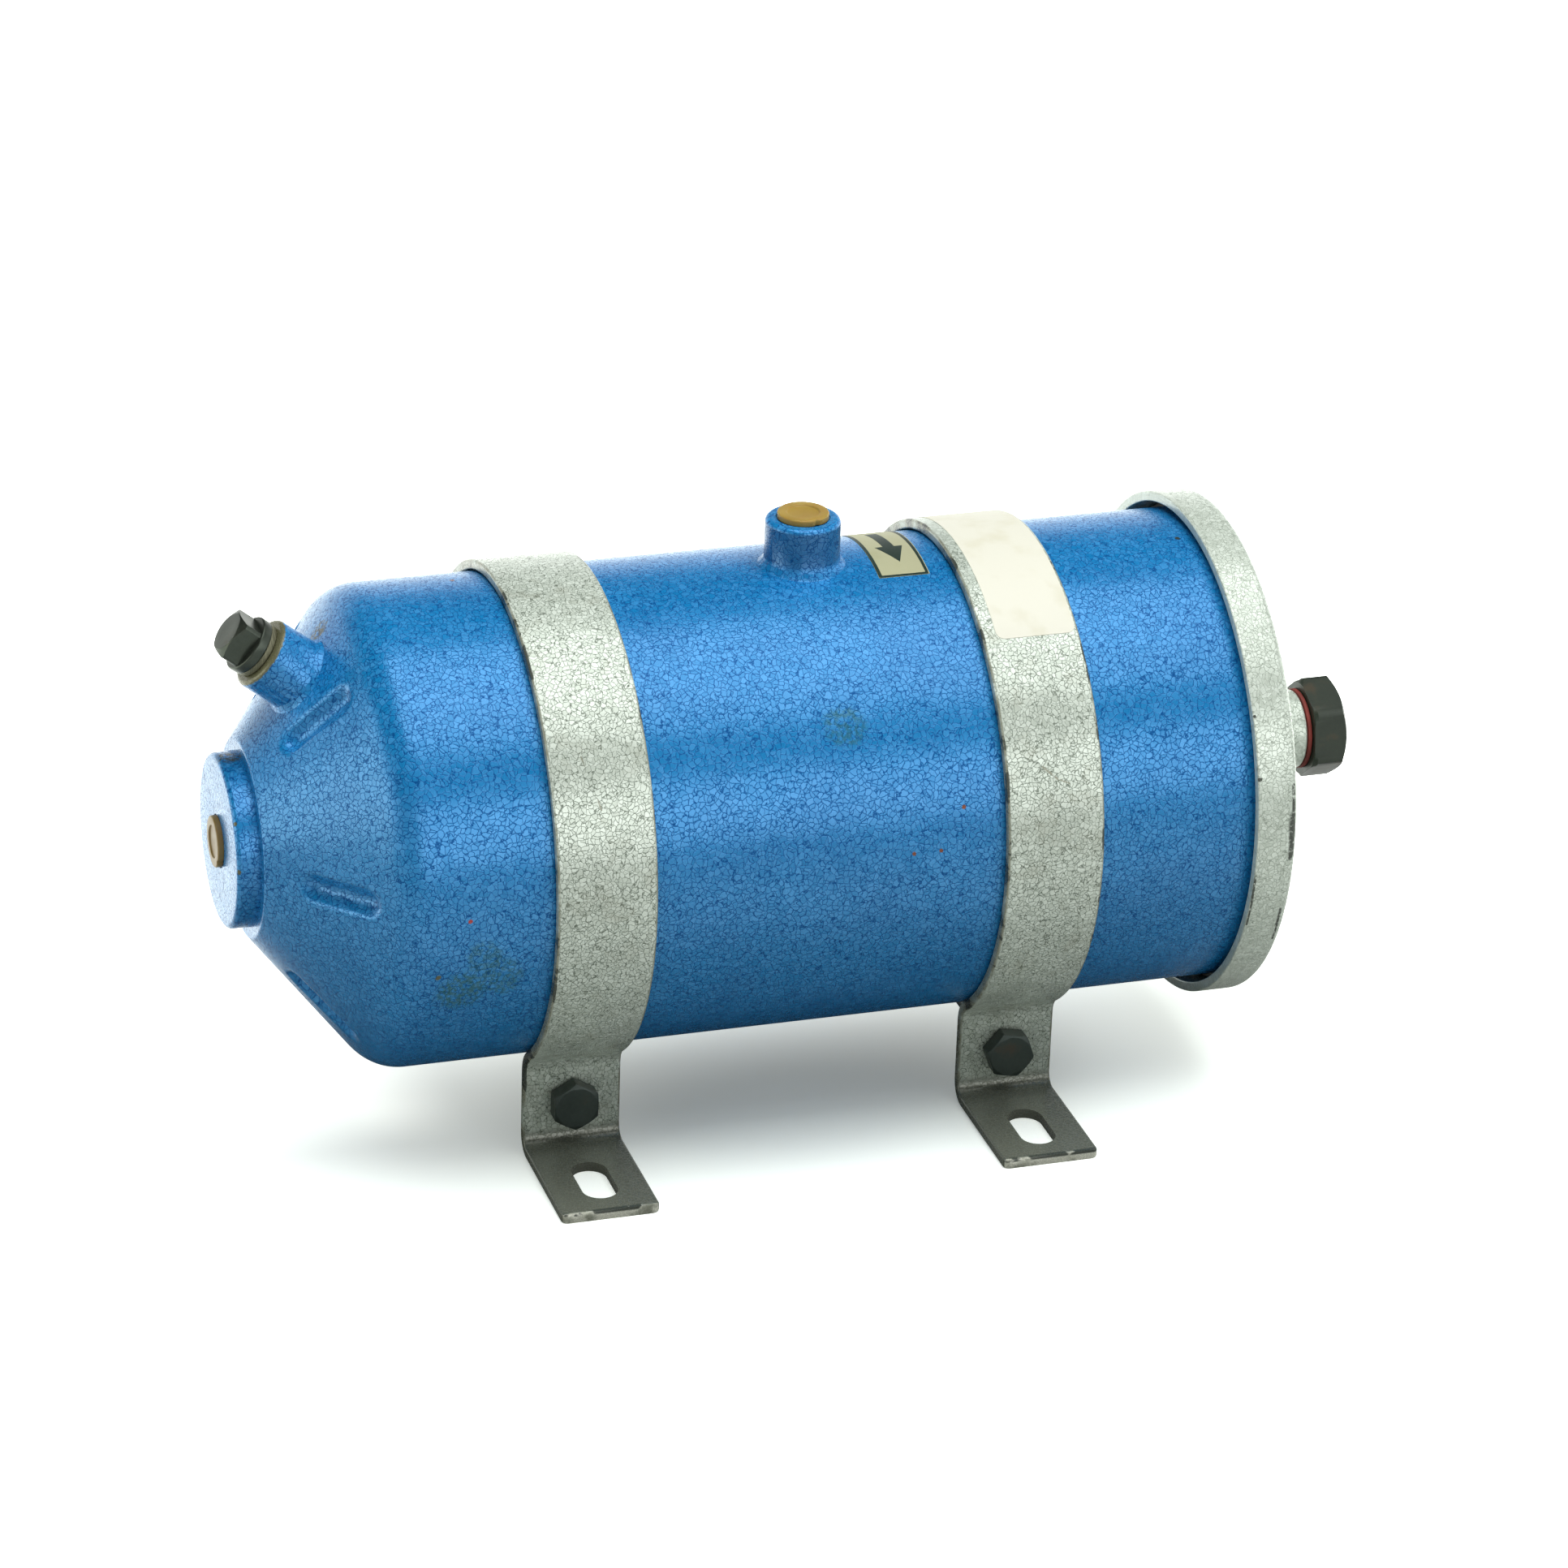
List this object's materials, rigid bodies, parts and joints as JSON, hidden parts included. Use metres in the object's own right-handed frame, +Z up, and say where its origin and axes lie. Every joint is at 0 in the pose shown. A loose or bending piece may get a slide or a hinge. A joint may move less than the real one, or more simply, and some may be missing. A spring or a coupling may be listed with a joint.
{
  "type": "fluid filter canister",
  "caption": "Horizontal steel fluid canister with a fluted cone end, capped ports, a screw vent plug and a bolted cover over a spring-held filter element, in footed clamp bands.",
  "frame": {"origin": "middle of the bounding box on the floor, under the feet of the clamp bands", "axes": "+X along the canister towards its bolted cover, -Y towards the heads of the clamp bolts, +Z up through the inlet port"},
  "size_m": [0.3432, 0.1654, 0.1767],
  "materials": {
    "blue_paint": "blue hammertone enamel",
    "silver_paint": "silver-grey hammertone enamel",
    "blackened_steel": "oil-blackened",
    "olive_plated_steel": "olive plated",
    "bright_steel": "bare",
    "aluminium": "bare soft washer",
    "amber_plastic": "soft moulded",
    "red_rubber": "moulded",
    "black_rubber": "moulded",
    "filter_paper": "pleated"
  },
  "bodies": {
    "canister": {"canister_shell": "blue_paint", "outlet_boss": "blue_paint", "inlet_boss": "blue_paint", "vent_boss": "blue_paint", "centre_tube": "bright_steel", "seat_plate": "bright_steel", "cone_end_strap": "silver_paint", "cover_end_strap": "silver_paint"},
    "cover": {"cover": "silver_paint", "cover_collar": "silver_paint", "cover_gasket": "black_rubber", "element_spring": "bright_steel"},
    "cover_bolt_seal": {"cover_bolt_seal": "red_rubber"},
    "cover_bolt": {"cover_bolt": "blackened_steel"},
    "element": {"element_lower_cap": "bright_steel", "element_upper_cap": "bright_steel", "element_core": "bright_steel", "element_media": "filter_paper", "lower_element_seal": "black_rubber", "upper_element_seal": "black_rubber"},
    "vent_plug_seal": {"vent_plug_seal": "aluminium"},
    "vent_plug": {"vent_plug": "olive_plated_steel"},
    "inlet_cap": {"inlet_cap": "amber_plastic"},
    "outlet_cap": {"outlet_cap": "amber_plastic"},
    "cone_end_clamp_bolt": {"cone_end_clamp_bolt": "blackened_steel"},
    "cone_end_clamp_nut": {"cone_end_clamp_nut": "blackened_steel"},
    "cover_end_clamp_bolt": {"cover_end_clamp_bolt": "blackened_steel"},
    "cover_end_clamp_nut": {"cover_end_clamp_nut": "blackened_steel"}
  },
  "joints": [
    {"name": "cover_lift", "type": "slide", "parent": "canister", "child": "cover", "axis": [1, 0, 0], "range_m": [0, 0.08]},
    {"name": "cover_bolt_rise", "type": "slide", "parent": "cover", "child": "cover_bolt_seal", "axis": [1, 0, 0], "range_m": [0, 0.02]},
    {"name": "cover_bolt_turn", "type": "hinge", "parent": "cover_bolt_seal", "child": "cover_bolt", "pos_m": [0.1611, 0, 0.09101], "axis": [1, 0, 0], "range_deg": [0, 2880.1]},
    {"name": "element_lift", "type": "slide", "parent": "canister", "child": "element", "axis": [1, 0, 0], "range_m": [0, 0.006], "stiffness_N_per_m": 2000, "springref_m": -0.02, "deforming": ["element_spring"]},
    {"name": "vent_plug_rise", "type": "slide", "parent": "canister", "child": "vent_plug_seal", "axis": [-0.7853, 0, 0.6191], "range_m": [0, 0.0105]},
    {"name": "vent_plug_turn", "type": "hinge", "parent": "vent_plug_seal", "child": "vent_plug", "pos_m": [-0.14688, 0, 0.14048], "axis": [-0.7853, 0, 0.6191], "range_deg": [0, 2520.1]},
    {"name": "inlet_cap_pull", "type": "slide", "parent": "canister", "child": "inlet_cap", "axis": [0, 0, 1], "range_m": [0, 0.02]},
    {"name": "outlet_cap_pull", "type": "slide", "parent": "canister", "child": "outlet_cap", "axis": [-1, 0, 0], "range_m": [0, 0.02]},
    {"name": "cone_end_clamp_bolt_turn", "type": "hinge", "parent": "canister", "child": "cone_end_clamp_bolt", "pos_m": [-0.075, 0, 0.01601], "axis": [0, -1, 0], "range_deg": [0, 2520.1]},
    {"name": "cone_end_clamp_nut_run", "type": "slide", "parent": "canister", "child": "cone_end_clamp_nut", "axis": [0, 1, 0], "range_m": [0, 0.00875]},
    {"name": "cover_end_clamp_bolt_turn", "type": "hinge", "parent": "canister", "child": "cover_end_clamp_bolt", "pos_m": [0.0577, 0, 0.01601], "axis": [0, -1, 0], "range_deg": [0, 2520.1]},
    {"name": "cover_end_clamp_nut_run", "type": "slide", "parent": "canister", "child": "cover_end_clamp_nut", "axis": [0, 1, 0], "range_m": [0, 0.00875]}
  ],
  "couplings": [
    {"joint": "cover_bolt_turn", "follows": "cover_bolt_rise", "rad_per_m": 2513.3},
    {"joint": "vent_plug_turn", "follows": "vent_plug_rise", "rad_per_m": 4188.8},
    {"joint": "cone_end_clamp_bolt_turn", "follows": "cone_end_clamp_nut_run", "rad_per_m": 5026.5},
    {"joint": "cover_end_clamp_bolt_turn", "follows": "cover_end_clamp_nut_run", "rad_per_m": 5026.5}
  ]
}
